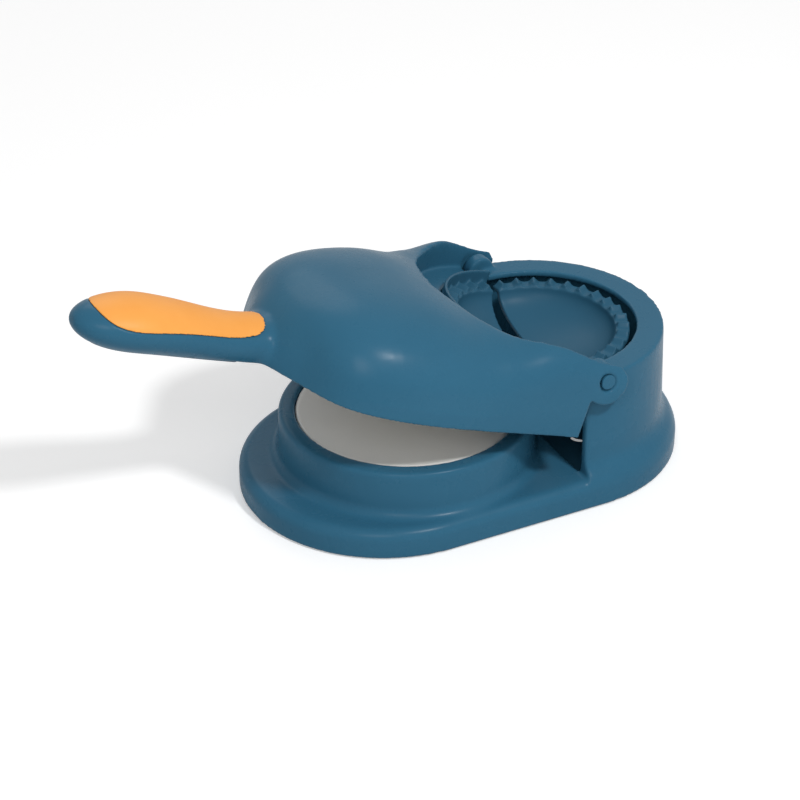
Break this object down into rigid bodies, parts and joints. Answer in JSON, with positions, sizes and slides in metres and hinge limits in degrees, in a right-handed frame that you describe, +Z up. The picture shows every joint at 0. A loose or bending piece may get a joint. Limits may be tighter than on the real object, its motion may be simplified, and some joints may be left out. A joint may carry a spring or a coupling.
{
  "type": "dumpling press",
  "caption": "Two-in-one dumpling press: a hinged lever flattens dough on a round plate, and folds over to close a toothed half-moon mould in the tower behind it.",
  "frame": {"origin": "middle of the footprint, on the surface that the press stands on", "axes": "+X from the handle towards the mould tower, +Y to the far side, +Z up"},
  "size_m": [0.2672, 0.122, 0.116],
  "materials": {
    "blue_plastic": "semi-gloss",
    "white_plastic": "satin",
    "orange_grip": "satin soft-touch",
    "steel": "zinc plated",
    "black_rubber": "matte"
  },
  "bodies": {
    "base": {"base_shell": "blue_plastic", "bottom_cover": "blue_plastic", "bottom_cover_screws": "steel", "fixed_mould": "blue_plastic", "fixed_mould_screws": "steel", "hinge_pin_far": "blue_plastic", "hinge_pin_near": "blue_plastic", "press_plate": "white_plastic", "press_plate_screws": "steel", "rubber_pad_1": "black_rubber", "rubber_pad_2": "black_rubber", "rubber_pad_3": "black_rubber", "rubber_pad_4": "black_rubber"},
    "lever": {"grip_pad": "orange_grip", "handle_cover": "blue_plastic", "handle_cover_screws": "steel", "lever_shell": "blue_plastic", "moving_mould": "blue_plastic", "moving_mould_screws": "steel", "upper_press_disc": "white_plastic"}
  },
  "joints": [
    {"name": "lever_hinge", "type": "hinge", "parent": "base", "child": "lever", "pos_m": [0.036, 0, 0.0584], "axis": [0, 1, 0], "range_deg": [-19, 161]}
  ]
}
